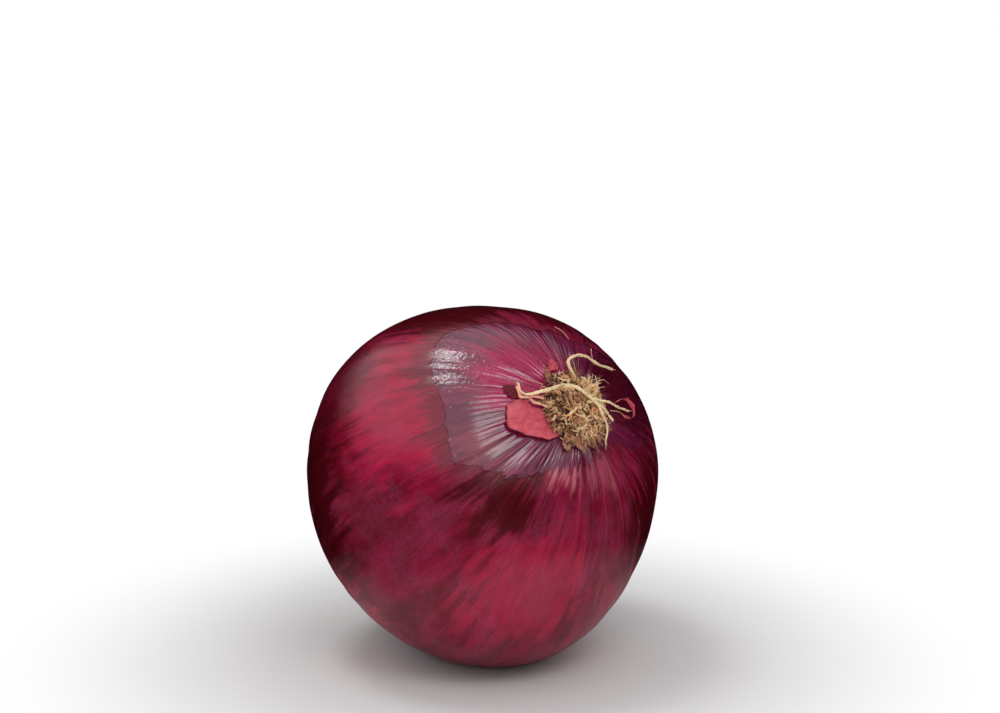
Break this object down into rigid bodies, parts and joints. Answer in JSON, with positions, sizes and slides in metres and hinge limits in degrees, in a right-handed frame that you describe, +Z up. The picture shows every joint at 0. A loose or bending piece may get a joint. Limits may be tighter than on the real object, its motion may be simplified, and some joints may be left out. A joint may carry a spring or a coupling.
{
  "type": "red onion",
  "caption": "Whole red onion bulb with glossy inner skin, torn papery outer skin, root plate with dried roots, skin scraps and a short dried neck.",
  "frame": {"origin": "middle of the flat spot, on the surface that the onion rests on", "axes": "+Z up; the bulb's own axis points from the neck to the root plate, 36.8 degrees above the horizontal and 49.4 degrees from +X towards -Y"},
  "size_m": [0.0812, 0.0826, 0.081],
  "materials": {
    "inner_skin": "tight, glossy, dark purple inner skin over the fleshy bulb, wrinkled near the root plate",
    "outer_skin": "dry papery crimson skin with a satin sheen and fine veins",
    "dried_root": "matte straw-tan corky plate and dried roots",
    "scrap_skin": "matte pinkish-red dry skin scraps"
  },
  "bodies": {
    "root": {"bulb": "inner_skin", "outer_skin": "outer_skin", "root_plate": "dried_root", "skin_flap": "scrap_skin", "skin_tip": "scrap_skin", "skin_curl": "scrap_skin"}
  },
  "joints": []
}
